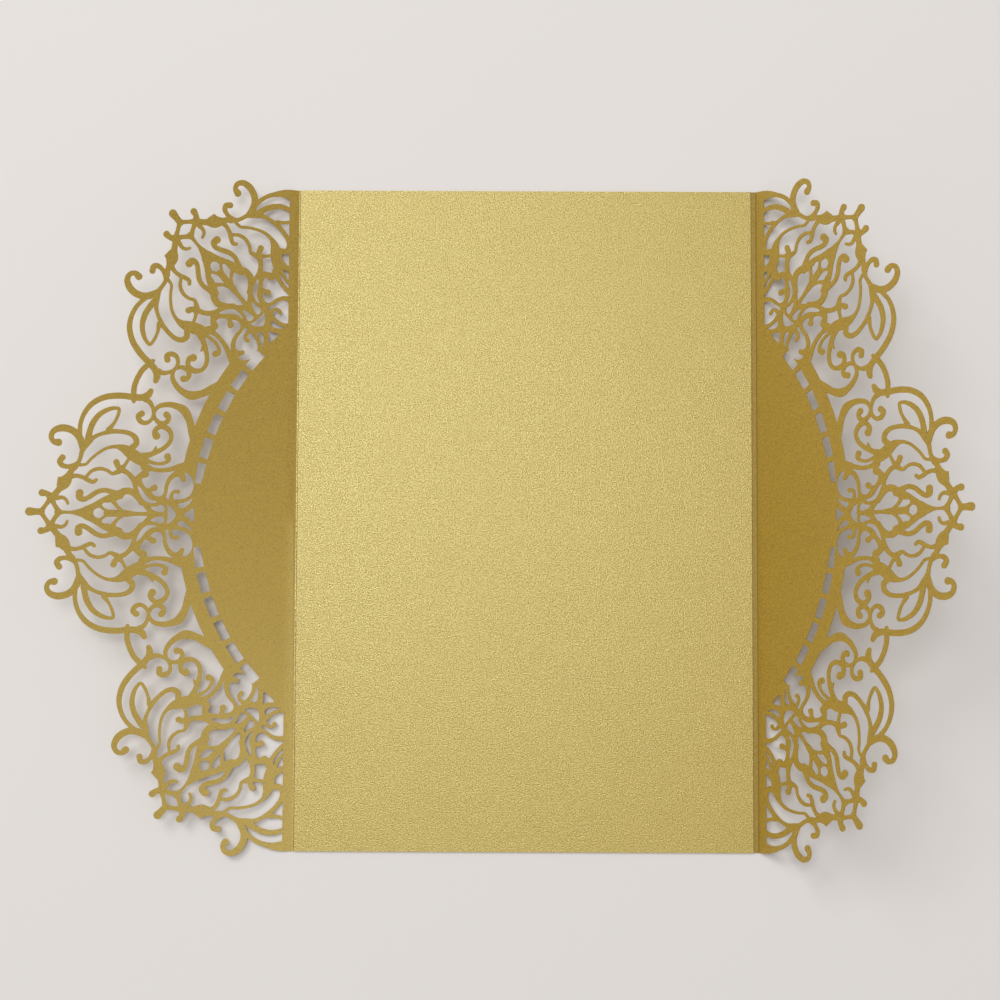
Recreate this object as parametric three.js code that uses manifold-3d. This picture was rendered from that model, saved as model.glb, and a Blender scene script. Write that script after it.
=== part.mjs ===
// Gatefold invitation of laser-cut gold shimmer card, lying open on its back.
//
// Frame: X across the open sheet, Y up the page, Z up from the table. The origin is on the
// underside of the centre panel, below the middle of the card that is mounted on it.
//
// The jacket is one sheet of card: a plain centre panel, a soft fold along each side of it and
// two gate flaps that stand up from the table. Each flap keeps a solid half round next to its
// fold, a ring of slots around that, and a border of pierced scrollwork: one palmette-shaped
// motif on the axis and the same motif turned towards each corner, where the fold cuts it off.
// The second piece is the plain card mounted on the centre panel.

import * as THREE from 'three';
import { mergeVertices } from 'three/addons/utils/BufferGeometryUtils.js';
import Module from 'manifold-3d';

const wasm = await Module();
wasm.setup();
const rad = THREE.MathUtils.degToRad;

// Sizes in millimetres, angles in degrees.
const sheetHeight = 185;
const cardWidth = 127;
const jacketThickness = 0.3;
const cardThickness = 0.35;
const leftMargin = 0.5;       // from the mounted card's edge to the fold line
const rightMargin = 1.6;
const foldWidth = 0.9;        // width of the crease, half of it on each side of the fold line
const foldSteps = 3;
const leftTilt = 17;          // how far each flap stands up from the table, at mid height
const rightTilt = 49.5;
const leftTwist = 11;         // how much more it stands up at the top end than at mid height
const rightTwist = -2.5;

// The flap's pattern is laid out around the ring centre, which lies on the axis of the sheet
// and inside the centre panel.
const ringInset = 39.4;       // from the fold line back to the ring centre
const motifTurn = 47.2;       // angle between neighbouring motifs
const hingeStrip = 2.8;       // solid strip along the fold
const discRadius = 67.9;      // solid half round
const ringRadius = 72.5;      // outer edge of the plain band outside the slots
const ringGap = 9.5;          // the band stops this far from each motif's axis
const slotRadius = 67.5;
const slotLength = 5.6;
const slotWidth = 2.5;
const slotEndWidth = 1.7;     // the slots next to the middle motif taper towards it
const slotCount = 6;          // on each side of the middle motif
const firstSlot = 9.85;
const slotPitch = 6.04;
const beadRadius = 1.3;
const beadDistance = 94;      // from the ring centre to the bead hole

// How far an outline's straight chords may run from the drawn curve.
const chordError = 0.48;

// Half of the motif, drawn as pen strokes. A stroke is a row of points on its centre line:
// distance out from the ring centre, distance across from the motif's axis, width.
const strokes = {
  // The rim of the palmette: the round outer arc, the open scroll with two ball ends,
  // the lump on its neck and the crown of knobs around the diamond hole.
  rimArc: [
    [85.3, 31.8, 1.6], [89.8, 31.9, 1.7], [93.3, 31.3, 1.6], [96.5, 29.5, 1.5], [98.5, 26.9, 1.3],
    [99.5, 24, 1.2], [99.6, 20.5, 1.3],
  ],
  upperHorn: [
    [98.8, 16.9, 1.2], [99, 18.7, 1.9], [99.7, 20.3, 1.9], [100.9, 21.6, 1.9], [102.5, 22.4, 1.9],
    [104.5, 22.6, 1.9], [106.5, 21.8, 1.6], [107.2, 20.2, 1.4], [106.5, 18.9, 1.4],
    [105.2, 18.7, 2.0],
  ],
  spineAndLowerHorn: [
    [91.3, 22.1, 1.3], [93.8, 21.4, 1.0], [95.8, 20.4, 1.2], [97.6, 18.7, 1.8], [98.8, 16.7, 1.3],
    [99.2, 14.9, 1.1], [99.8, 13.4, 1.2], [101.3, 12.4, 1.5], [102.6, 12.3, 1.2], [104, 12.6, 1.4],
    [104.7, 13.6, 1.5], [104, 14.7, 1.7],
  ],
  neck: [
    [100.5, 12.3, 1.6], [101.5, 11.2, 1.5], [102.2, 9.6, 2.2], [103.3, 8.0, 3.3],
    [104.5, 6.3, 1.8], [105.6, 4.9, 1.7], [106.5, 3.6, 2.4],
  ],
  sideKnob: [
    [106.5, 3.8, 2.3], [107.9, 4.9, 1.5], [109.1, 5.1, 1.9],
  ],
  diamondInner: [
    [106.5, 3.6, 1.6], [105.7, 1.9, 1.2], [104.6, 0.3, 1.4],
  ],
  diamondOuter: [
    [106.9, 3.5, 1.6], [108, 1.9, 1.1], [109.2, 0.2, 1.4],
  ],
  crownTip: [
    [109.1, 0, 1.8], [110.8, 0, 1.8], [111.5, 0, 2.0], [112.3, 0, 2.3],
  ],
  crownHook: [
    [105.1, 3.8, 1.3], [103.6, 3.95, 1.0], [102.6, 3.3, 0.9], [102.2, 2.4, 0.8],
  ],
  // The heart on the axis: stem, bulb with its bead hole and the pointed leaf.
  axisStem: [
    [78.8, 0, 1.4], [81.3, 0, 1.1], [83.8, 0, 1.1], [86.3, 0, 1.8], [88.8, 0, 1.9], [91.6, 0, 1.9],
  ],
  bulbStem: [
    [96.3, 0, 3.6], [98.3, 0, 2.5], [99.8, 0, 1.5], [101.3, 0, 0.85], [102.8, 0, 0.85],
    [103.9, 0, 1.2], [104.7, 0, 2.0],
  ],
  bulbShoulder: [
    [87.9, 4.9, 1.8], [90.3, 4.2, 2.2], [92.3, 3.5, 1.9], [93.9, 2.5, 1.9], [95.6, 1.5, 2.0],
    [97.3, 0.8, 2.0],
  ],
  beadRim: [
    [91.3, 0.3, 1.3], [92.3, 1.0, 0.9], [93.4, 1.9, 1.0],
  ],
  leafRim: [
    [87.5, 0.6, 1.1], [88.9, 1.8, 0.9], [89.9, 3.3, 1.5],
  ],
  longTendril: [
    [82.3, 3.0, 1.4], [83.7, 4.9, 1.7], [85.3, 6.0, 1.9], [87.1, 6.0, 2.0], [88.9, 5.4, 1.6],
    [90.6, 5.8, 1.4], [92.3, 6.2, 1.3], [94.3, 5.75, 1.35], [96.6, 4.2, 1.35], [98, 3.6, 1.4],
    [99.1, 4.1, 1.8], [99.1, 5.3, 2.1],
  ],
  leafStem: [
    [87.8, 11.8, 1.5], [86.3, 11.0, 1.3], [85.1, 9.8, 1.4], [84.2, 8.6, 1.8], [83.9, 7.2, 1.6],
    [83.5, 5.2, 1.5],
  ],
  // The shell and the two long leaves beside the heart.
  shellCurve: [
    [88.5, 11.6, 1.6], [90.5, 10.75, 0.95], [91.9, 11.6, 0.9], [93.9, 12.0, 1.0],
    [95.9, 11.4, 1.0], [97.2, 10.1, 0.9], [97.7, 9.4, 0.9],
  ],
  shoulder: [
    [94.8, 8.9, 1.0], [95.6, 8.35, 1.1], [96.9, 8.8, 1.2], [98.3, 9.5, 1.15], [100.1, 9.9, 1.15],
    [101.9, 9.6, 1.5],
  ],
  leafUnderside: [
    [88.8, 18.1, 1.2], [90.8, 18.0, 0.95], [92.6, 17.4, 0.85], [94.6, 16.1, 0.8],
    [96.3, 14.6, 0.8], [97.7, 13.1, 0.8], [99.3, 12.8, 0.9],
  ],
  middleLeaf: [
    [91.3, 22.2, 1.3], [88.3, 22.2, 1.2], [86.1, 21.8, 1.3], [84.5, 20.6, 1.5], [84.3, 19, 1.6],
    [85.3, 18.1, 1.6],
  ],
  leafMass: [
    [82.3, 14.6, 3.2], [83.8, 15.2, 3.2], [85.6, 16.4, 3.2], [87.5, 17.6, 2.2], [89.3, 18.1, 1.2],
  ],
  budStem: [
    [86.3, 14.6, 0.9], [87, 13.4, 0.9], [87.8, 12.4, 1.4],
  ],
  budFinger: [
    [88.1, 12.1, 1.7], [89, 12.8, 1.5], [89.5, 13.9, 1.7],
  ],
  crossBranch: [
    [80.9, 12.3, 1.6], [81.7, 11.1, 1.9], [83, 10.2, 1.6], [84, 9.0, 1.9],
  ],
  eyeLeaf: [
    [91.9, 22.6, 1.4], [90.5, 24.4, 0.9], [89.5, 26.5, 0.9], [89.25, 28.3, 0.9], [90.5, 28.5, 1.0],
    [92.5, 27.9, 1.25], [94.7, 26.4, 1.45], [96.2, 24.2, 1.6], [96.9, 22.2, 1.6], [97.3, 20, 1.8],
  ],
  // The big scroll that rolls up between the ring and the rim, with its small spirals.
  bigScroll: [
    [68.6, 21, 2], [69, 23, 2.2], [69.8, 26, 2.0], [71.3, 28.65, 2.4], [73.3, 29.7, 1.8],
    [75.8, 30.1, 1.5], [78.5, 29.4, 1.2], [79.7, 27.6, 1.0], [79.1, 25.8, 1.1], [77.3, 24.8, 1.4],
    [75.9, 25.5, 1.3], [75.6, 26.6, 1.4], [76.2, 27.3, 1.8],
  ],
  outerSpiral: [
    [82.3, 31.2, 1.4], [81, 30.6, 1.3], [80, 28.9, 1.0], [79.75, 27.2, 1.0], [80.4, 25.7, 1.0],
    [81.9, 24.8, 1.2], [83.4, 25.3, 1.4], [83.9, 26.6, 1.5], [83, 27.3, 1.7],
  ],
  innerSpiral: [
    [77.3, 24.3, 1.5], [78.7, 23.5, 1.3], [79.3, 22.4, 1.5], [78.8, 21.4, 2.1],
  ],
  scrollBranch: [
    [77.2, 24.2, 1.6], [75.5, 23.2, 1.4], [74.7, 21.5, 1.15], [75.2, 19.7, 1.2], [76.7, 18.1, 1.2],
    [78.5, 17.1, 1.4], [80.5, 16.2, 1.5], [82.8, 15.5, 2.2],
  ],
  branchThorn: [
    [79.2, 17.0, 1.4], [78.8, 18.5, 0.4],
  ],
  scrollFoot: [
    [70.8, 13.2, 2.5], [72.5, 12.9, 2.0], [74.3, 12.5, 1.3], [77.3, 12.05, 1.1], [79.6, 12.2, 1.3],
    [81.8, 12.9, 2.2],
  ],
  footCurl: [
    [75.6, 15.9, 1.8], [75.25, 14.9, 1.2], [76.2, 14.15, 1.0], [78.1, 13.8, 0.85],
    [79.8, 14.1, 0.9], [81.6, 14.6, 1.3],
  ],
  // The bridge to the next palmette: a thorned leaf and half of the shared strut.
  bridgeThorn: [
    [80.7, 33.6, 1.4], [81.5, 32.4, 1.9], [83.1, 31.7, 1.8], [85.3, 31.7, 1.8], [87.3, 31.85, 1.6],
  ],
  bridgeDent: [
    [85.3, 31.4, 1.6], [85.3, 30.5, 1.0],
  ],
  strut: [
    [85.4, 32, 1.5], [85.3, 34.5, 1.5], [84.5, 37.0, 1.45],
  ],
};

// Solid areas of the half motif: its foot next to the ring, and the lump on its neck.
const solidAreas = [
  [
    [66.3, -0.1], [66.3, 13], [72.3, 13.3], [75.3, 12.6], [78.3, 12.2], [81.3, 12.6],
    [83.8, 9.8], [84.5, 8], [84.1, 6], [82.8, 3.2], [80.8, 0.8], [80.8, -0.1],
  ],
  [
    [102.3, 9.8], [105.1, 9.4], [105.3, 7.2], [103.8, 6],
  ],
];

// Openings cut in those areas, from the ring outwards, as smooth closed outlines.
const openings = [
  [
    [70.5, 11.5], [69.1, 10.8], [68.25, 9.2], [68.25, 7.3], [69.1, 5.5], [70.5, 4.55],
    [72.3, 4.15], [74.3, 4.15], [75.6, 4.3], [75.3, 6.4], [75, 8.1], [74.1, 9.6], [72.9, 10.4],
    [71.9, 10.2],
  ],
  [
    [73.4, 12.0], [75.3, 11.55], [77.8, 11.45], [80.5, 11.6], [80.55, 10.6], [81.2, 9.95],
    [82.3, 9.7], [82.4, 9.0], [81.8, 7.8], [80.9, 6.9], [80.2, 6.4], [79.5, 5.7], [78.7, 5.0],
    [77.7, 4.85], [76.8, 5.2], [76.3, 6.2], [76.2, 7.7], [75.6, 9.6], [74.7, 10.9],
  ],
  [
    [78.1, 3.4], [79.7, 3.9], [81.1, 5.0], [82.3, 6.6], [83.4, 7.6], [83.5, 7.2], [83, 5.7],
    [82.1, 4.2], [81.2, 3.4], [79.9, 3.0], [78.7, 3.0],
  ],
  [
    [76, 1.6], [76.4, 2.4], [77.3, 2.6], [78, 2.2], [78.9, 2.1], [79.7, 1.9], [79.5, 1.4],
    [78.5, 0.9], [77.1, 0.6], [76.2, 0.7],
  ],
  [
    [81.1, 0.6], [81.9, 1.2], [83.1, 2.6], [84.3, 4.2], [85.3, 5.0], [86.3, 5.25], [87.2, 4.8],
    [87.7, 3.8], [88.6, 3.7], [89.2, 3.3], [88.9, 2.6], [88, 1.8], [86.6, 1.2], [84.8, 0.7],
    [82.8, 0.4],
  ],
  [
    [75.05, -0.1], [75.2, 1.5], [75.4, 2.6], [74.3, 2.1], [73.4, 1.2], [72.9, -0.1],
  ],
  [
    [67.6, -0.1], [67.7, 1.0], [68.4, 1.9], [69.2, 1.1], [70.7, -0.1],
  ],
  [
    [68.4, 4.6], [69.6, 3.8], [71.1, 3.3], [72.3, 2.9], [72.3, 2.4], [71.7, 1.8], [70.9, 1.8],
    [69.8, 2.5], [68.9, 3.5],
  ],
  [
    [89.4, 0.9], [90.3, 2.2], [91.6, 2.8], [92.7, 2.7], [93, 2.1], [92.3, 1.4], [91, 0.9],
  ],
];

// Curls that reach back into the two scroll openings.
const curls = [
  [
    [74.2, 4.0, 1.2], [74.15, 5.5, 0.9], [73.5, 6.3, 0.9], [72.5, 6.3, 1.2],
  ],
  [
    [71.9, 11.9, 1.8], [71, 9.7, 1.3],
  ],
  [
    [80.7, 6.2, 1.5], [79.7, 6.8, 1.2], [78.9, 7.25, 1.7],
  ],
];

// A closed geometry as a solid that can be joined and cut.
function solid(geometry) {
  const bare = geometry.clone();
  bare.deleteAttribute('normal');
  bare.deleteAttribute('uv');
  const merged = mergeVertices(bare, 1e-5);
  return new wasm.Manifold(new wasm.Mesh({
    numProp: 3,
    vertProperties: merged.attributes.position.array,
    triVerts: new Uint32Array(merged.index.array),
  }));
}

// A flat outline as a slab. The slabs are only there to join and cut outlines in the plane.
function slab(outline, from = 0, to = 1) {
  const shape = new THREE.Shape(outline.map(([x, y]) => new THREE.Vector2(x, y)));
  const geometry = new THREE.ExtrudeGeometry(shape, { depth: to - from, bevelEnabled: false });
  geometry.translate(0, 0, from);
  return solid(geometry);
}

function cutter(outline) {
  return slab(outline, -1, 2);
}

// Joins neighbours in pairs, then the pairs, which is quicker than one after another.
function joined(solids) {
  let row = solids;
  while (row.length > 1) {
    const next = [];
    for (let i = 0; i + 1 < row.length; i += 2) next.push(row[i].add(row[i + 1]));
    if (row.length % 2) next.push(row[row.length - 1]);
    row = next;
  }
  return row[0];
}

// Half a circle of points around a centre, starting at an angle.
function halfCircle(x, y, radius, start, steps = 8) {
  const points = [];
  for (let k = 0; k <= steps; k++) {
    const angle = start + (k * Math.PI) / steps;
    points.push([x + radius * Math.cos(angle), y + radius * Math.sin(angle)]);
  }
  return points;
}

// A pen stroke: a smooth line through its points, with the width carried along, made of
// round-ended links.
function stroke(points, step = 0.6) {
  const curve = new THREE.CatmullRomCurve3(points.map((p) => new THREE.Vector3(...p)));
  const count = Math.max(2, Math.ceil(curve.getLength() / step));
  const line = curve.getPoints(count);
  const links = [];
  for (let i = 0; i < count; i++) {
    const p = line[i];
    const q = line[i + 1];
    const turn = Math.atan2(q.y - p.y, q.x - p.x);
    links.push(slab([
      ...halfCircle(p.x, p.y, p.z / 2, turn + Math.PI / 2),
      ...halfCircle(q.x, q.y, q.z / 2, turn - Math.PI / 2),
    ]));
  }
  return joined(links);
}

// A smooth closed outline through the points.
function smoothOutline(points, perPoint = 5) {
  const corners = points.map(([x, y]) => new THREE.Vector3(x, y, 0));
  const curve = new THREE.CatmullRomCurve3(corners, true);
  return curve.getPoints(points.length * perPoint).slice(0, -1).map((p) => [p.x, p.y]);
}

// The same solid with its corners moved in the plane.
function moved(source, place, mirror = false) {
  const mesh = source.getMesh();
  const corners = mesh.vertProperties.slice();
  const faces = mesh.triVerts.slice();
  for (let i = 0; i < corners.length; i += 3) {
    [corners[i], corners[i + 1]] = place(corners[i], corners[i + 1]);
  }
  if (mirror) faces.reverse();
  return new wasm.Manifold(new wasm.Mesh({
    numProp: 3, vertProperties: corners, triVerts: faces,
  }));
}

// The whole motif: half of it, its mirror image and the bead hole on the axis.
function motif() {
  const ink = Object.values(strokes).map((points) => stroke(points));
  const areas = solidAreas.map((outline) => slab(outline));
  const holes = openings.map((points) => cutter(smoothOutline(points)));
  const half = joined([...ink, ...areas])
    .subtract(joined(holes))
    .add(joined(curls.map((points) => stroke(points))));
  const bead = [
    ...halfCircle(beadDistance, 0, beadRadius, 0).slice(1),
    ...halfCircle(beadDistance, 0, beadRadius, Math.PI).slice(1),
  ];
  return half.add(moved(half, (x, y) => [x, -y], true)).subtract(cutter(bead));
}

// From the ring centre's own frame, turned by an angle, to the flap: s out from the fold line,
// v up the sheet.
function onFlap(angle) {
  const c = Math.cos(rad(angle));
  const n = Math.sin(rad(angle));
  return (x, y) => [x * c - y * n - ringInset, x * n + y * c];
}

// An outline between two radii and two angles around the ring centre.
function ringSector(inner, outer, from, to, steps = 48) {
  const outline = [];
  for (let k = 0; k <= steps; k++) outline.push(onFlap(from + ((to - from) * k) / steps)(outer, 0));
  for (let k = steps; k >= 0; k--) outline.push(onFlap(from + ((to - from) * k) / steps)(inner, 0));
  return outline;
}

function rectangle(x0, x1, y0, y1) {
  return [[x0, y0], [x1, y0], [x1, y1], [x0, y1]];
}

// One slot of the ring, number k from the middle motif, on the upper (1) or lower (-1) side.
function slot(k, side) {
  const half = slotWidth / 2;
  const end = k === 0 ? slotEndWidth / 2 : half;
  const near = (side * slotLength) / -2;
  const corners = [
    [slotRadius - end, near], [slotRadius + end, near],
    [slotRadius + half, -near], [slotRadius - half, -near],
  ].map(([x, y]) => onFlap(side * (firstSlot + k * slotPitch))(x, y));
  return cutter(side > 0 ? corners : corners.reverse());
}

// The strip between the upper or lower corner of the sheet and the rim of the corner motif.
function cornerBlend(side) {
  const top = (side * sheetHeight) / 2;
  const outline = [
    [hingeStrip - 0.2, top], [hingeStrip - 0.2, top - side * 2], [8, top - side * 1.4],
    [8, top - side * 0.7], [5, top - side * 0.2],
  ];
  return slab(side > 0 ? outline : outline.reverse());
}

// The flat flap, as a slab, from the outer side of the crease to the tips of the lace.
function flatFlap() {
  const one = motif();
  const halfHeight = sheetHeight / 2;
  const body = joined([
    moved(one, onFlap(0)),
    moved(one, onFlap(motifTurn)),
    moved(one, onFlap(-motifTurn)),
    slab(ringSector(20, discRadius, -70, 70, 96)),
    slab(ringSector(discRadius - 1, ringRadius, ringGap, motifTurn - ringGap)),
    slab(ringSector(discRadius - 1, ringRadius, ringGap - motifTurn, -ringGap)),
    slab(rectangle(-1, hingeStrip, -halfHeight, halfHeight)),
    cornerBlend(1),
    cornerBlend(-1),
  ]);
  const slots = [];
  for (let k = 0; k < slotCount; k++) slots.push(slot(k, 1), slot(k, -1));
  const reach = ringInset * 3;
  return body
    .subtract(joined(slots))
    .intersect(cutter(rectangle(foldWidth / 2, reach, -sheetHeight, sheetHeight)));
}

// The closed outlines around the upper face of a slab: edges that only one triangle has.
function faceOutlines(source) {
  const mesh = source.getMesh();
  const at = mesh.vertProperties;
  const edges = new Map();
  for (let i = 0; i < mesh.triVerts.length; i += 3) {
    const corner = mesh.triVerts.slice(i, i + 3);
    if (corner.some((k) => at[3 * k + 2] < 0.5)) continue;
    for (let e = 0; e < 3; e++) {
      const a = corner[e];
      const b = corner[(e + 1) % 3];
      if (!edges.delete(`${b} ${a}`)) edges.set(`${a} ${b}`, [a, b]);
    }
  }
  const next = new Map([...edges.values()]);
  const outlines = [];
  while (next.size) {
    const outline = [];
    for (let k = next.keys().next().value; next.has(k);) {
      const after = next.get(k);
      outline.push([at[3 * k], at[3 * k + 1]]);
      next.delete(k);
      k = after;
    }
    outlines.push(outline);
  }
  return outlines;
}

// Signed distance of a point from the line through two others.
function offLine([x, y], [ax, ay], [bx, by]) {
  const length = Math.hypot(bx - ax, by - ay) || 1;
  return ((x - ax) * (by - ay) - (y - ay) * (bx - ax)) / length;
}

// The points of an outline that its chords need to stay within the allowed error.
function chordEnds(outline) {
  const [x0, y0] = outline[0];
  const reach = outline.map(([x, y]) => Math.hypot(x - x0, y - y0));
  const far = reach.indexOf(Math.max(...reach));
  const keep = new Set([0, far]);
  const split = (from, to) => {
    let worst = chordError;
    let at = 0;
    for (let k = from + 1; k < to; k++) {
      const off = Math.abs(offLine(outline[k], outline[from], outline[to % outline.length]));
      if (off > worst) [worst, at] = [off, k];
    }
    if (!at) return;
    keep.add(at);
    split(from, at);
    split(at, to);
  };
  split(0, far);
  split(far, outline.length);
  return [...keep].sort((a, b) => a - b);
}

// Moves each chord out to the middle of the curve that it stands for, so that a round keeps
// its size. Points on the fold side stay where they are.
function balanced(outline, ends) {
  const count = outline.length;
  const pushes = ends.map((from, i) => {
    const to = i + 1 < ends.length ? ends[i + 1] : ends[0] + count;
    const a = outline[from];
    const b = outline[to % count];
    let sum = 0;
    for (let k = from + 1; k < to; k++) sum += offLine(outline[k % count], a, b);
    const mean = (0.75 * sum) / Math.max(1, to - from - 1);
    const length = Math.hypot(b[0] - a[0], b[1] - a[1]);
    return [(mean * (b[1] - a[1])) / length, (-mean * (b[0] - a[0])) / length];
  });
  return ends.map((end, i) => {
    const [x, y] = outline[end];
    if (x < foldWidth / 2 + 0.01) return [x, y];
    const before = pushes[(i + pushes.length - 1) % pushes.length];
    return [x + (before[0] + pushes[i][0]) / 2, y + (before[1] + pushes[i][1]) / 2];
  });
}

function toVectors(outline) {
  return outline.map(([x, y]) => new THREE.Vector2(x, y));
}

// The flap's outline and its openings, the outline first.
function flapRegion() {
  const outlines = faceOutlines(flatFlap())
    .map((outline) => toVectors(balanced(outline, chordEnds(outline))))
    .filter((outline) => outline.length > 2);
  const area = (outline) => THREE.ShapeUtils.area(outline);
  const contour = outlines.reduce((a, b) => (area(b) > area(a) ? b : a));
  const holes = outlines.filter((outline) => area(outline) < -0.3);
  return { contour, holes };
}

// A folded sheet from flat regions that share their fold lines. Each region is a flat outline
// with holes and a rule that puts its points in space: (x, y, height in the sheet). Both faces
// get the same triangles, and an edge that only one triangle has gets a wall.
function foldedSheet(regions) {
  const positions = [];
  const known = new Map();
  const corner = (point) => {
    const key = point.toArray().map((value) => Math.round(value * 1e4)).join(' ');
    if (!known.has(key)) {
      known.set(key, positions.length / 3);
      positions.push(...point.toArray());
    }
    return known.get(key);
  };
  const faces = [];
  const rims = new Map();
  for (const { contour, holes, place } of regions) {
    const points = [contour, ...holes].flat();
    const lower = points.map((p) => corner(place(p.x, p.y, 0)));
    const upper = points.map((p) => corner(place(p.x, p.y, jacketThickness)));
    for (const triangle of THREE.ShapeUtils.triangulateShape(contour, holes)) {
      const flipped = place(1, 0, 0).x < place(0, 0, 0).x;
      const [a, b, c] = flipped ? [...triangle].reverse() : triangle;
      faces.push(upper[a], upper[b], upper[c], lower[c], lower[b], lower[a]);
      for (const [p, q] of [[a, b], [b, c], [c, a]]) {
        if (!rims.delete(`${upper[q]} ${upper[p]}`)) {
          rims.set(`${upper[p]} ${upper[q]}`, [upper[p], upper[q], lower[q], lower[p]]);
        }
      }
    }
  }
  for (const [p, q, r, s] of rims.values()) faces.push(q, p, s, q, s, r);
  const geometry = new THREE.BufferGeometry();
  geometry.setAttribute('position', new THREE.Float32BufferAttribute(positions, 3));
  geometry.setIndex(faces);
  return geometry;
}

// The rule that folds one side up. It takes s, the distance out from the fold line, v, the
// height on the page, and h, the height in the sheet. The crease is an arc, and the flap goes
// straight on from its end. The flap's angle changes evenly from its lower to its upper end.
function foldedSide(side, foldLine, tilt, twist) {
  return (s, v, h) => {
    const angle = rad(tilt + (twist * v) / (sheetHeight / 2));
    const along = Math.min(Math.max(s + foldWidth / 2, 0), foldWidth);
    const turned = (angle * along) / foldWidth;
    const radius = foldWidth / angle;
    const straight = s + foldWidth / 2 - along;
    const lift = h - jacketThickness / 2;
    const x = radius * Math.sin(turned) + straight * Math.cos(turned) - lift * Math.sin(turned);
    const z = radius * (1 - Math.cos(turned)) + straight * Math.sin(turned)
      + lift * Math.cos(turned) + jacketThickness / 2;
    return new THREE.Vector3(side * (foldLine - foldWidth / 2 + x), v, z);
  };
}

function plainRegion(x0, x1, place) {
  const halfHeight = sheetHeight / 2;
  return { contour: toVectors(rectangle(x0, x1, -halfHeight, halfHeight)), holes: [], place };
}

// The jacket: centre panel, two creases in narrow steps, two flaps of lace.
function jacket() {
  const flap = flapRegion();
  const leftFold = cardWidth / 2 + leftMargin;
  const rightFold = cardWidth / 2 + rightMargin;
  const flat = (x, y, h) => new THREE.Vector3(x, y, h);
  const regions = [plainRegion(foldWidth / 2 - leftFold, rightFold - foldWidth / 2, flat)];
  for (const place of [
    foldedSide(-1, leftFold, leftTilt, leftTwist),
    foldedSide(1, rightFold, rightTilt, rightTwist),
  ]) {
    for (let k = 0; k < foldSteps; k++) {
      const from = foldWidth * (k / foldSteps - 0.5);
      regions.push(plainRegion(from, from + foldWidth / foldSteps, place));
    }
    regions.push({ ...flap, place });
  }
  return foldedSheet(regions);
}

// The mounted card: a plain rectangle, cut to the height of the sheet.
function mountedCard() {
  const geometry = new THREE.BoxGeometry(cardWidth, sheetHeight, cardThickness);
  geometry.translate(0, 0, jacketThickness + cardThickness / 2);
  return geometry;
}

const invitation = new THREE.Group();

function piece(name, geometry, color, roughness, metalness) {
  const material = new THREE.MeshStandardMaterial({ color, roughness, metalness });
  const mesh = new THREE.Mesh(geometry, material);
  mesh.name = name;
  invitation.add(mesh);
}

piece('gatefold_jacket', jacket(), 0xb09442, 0.45, 0.35);
piece('mounted_card', mountedCard(), 0xcdba74, 0.4, 0.35);

export default invitation;
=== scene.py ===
# %% [markdown]
# # A laser-cut gatefold invitation
#
# The object is made of two pieces of shimmer card. The jacket is one sheet: a plain centre
# panel, two soft folds and two gate flaps of cut lace, which stand up from the table. The
# second piece is a plain card mounted on the centre panel.
#
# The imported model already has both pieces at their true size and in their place. Its lace is
# drawn with straight chords, because it also serves for collision. Here the jacket is cut
# again from the same pen strokes, finely enough for smooth curves, and both pieces get their
# finish.

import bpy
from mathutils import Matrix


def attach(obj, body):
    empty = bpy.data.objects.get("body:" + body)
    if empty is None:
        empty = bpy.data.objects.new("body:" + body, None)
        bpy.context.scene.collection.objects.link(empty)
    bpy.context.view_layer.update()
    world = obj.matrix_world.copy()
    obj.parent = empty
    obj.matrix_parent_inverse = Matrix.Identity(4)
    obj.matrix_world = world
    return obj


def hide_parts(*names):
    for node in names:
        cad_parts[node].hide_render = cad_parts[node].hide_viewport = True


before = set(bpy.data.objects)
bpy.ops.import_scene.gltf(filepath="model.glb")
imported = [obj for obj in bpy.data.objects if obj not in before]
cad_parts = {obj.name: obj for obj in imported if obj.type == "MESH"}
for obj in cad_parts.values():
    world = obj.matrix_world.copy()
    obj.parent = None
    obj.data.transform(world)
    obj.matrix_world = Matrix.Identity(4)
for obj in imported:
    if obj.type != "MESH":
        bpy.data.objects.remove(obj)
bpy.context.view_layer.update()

# %% Tools for the lesson
import math

import bpy
import numpy as np
from mathutils import geometry

# %% [markdown]
# ## The sizes
#
# Everything on the flat sheet is in millimetres, because card, creases and cutting lines are
# planned in millimetres. Only the finished mesh is turned into metres. The sizes repeat the
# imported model's own, so that the new sheet lies exactly where the old one did.

# %% Sizes in millimetres, angles in degrees
SHEET_HEIGHT = 185.0
CARD_WIDTH = 127.0
SHEET_THICKNESS = 0.3
LEFT_FOLD = CARD_WIDTH / 2 + 0.5
RIGHT_FOLD = CARD_WIDTH / 2 + 1.6
LEFT_CREASE, RIGHT_CREASE = 0.3, 0.4
LEFT_TILT, LEFT_TWIST = 17.0, 11.0
RIGHT_TILT, RIGHT_TWIST = 49.5, -2.5

RING_INSET = 39.4
MOTIF_TURN = 47.2
HINGE_STRIP = 2.8
DISC_RADIUS = 67.9
RING_RADIUS = 72.5
RING_GAP = 9.5
SLOT_RADIUS = 67.5
SLOT_LENGTH, SLOT_WIDTH, SLOT_END_WIDTH = 5.6, 2.5, 1.7
SLOTS, FIRST_SLOT, SLOT_PITCH = 6, 9.85, 6.04
BEAD_RADIUS, BEAD_DISTANCE = 1.3, 94.0
FLAP_REACH, FLAP_HALF_HEIGHT = 75.0, 95.4
PANEL_OVERLAP = 3.0
METRE = 1000.0
print("flat sheet, without the lace:", LEFT_FOLD + RIGHT_FOLD, "mm between the folds")

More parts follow.
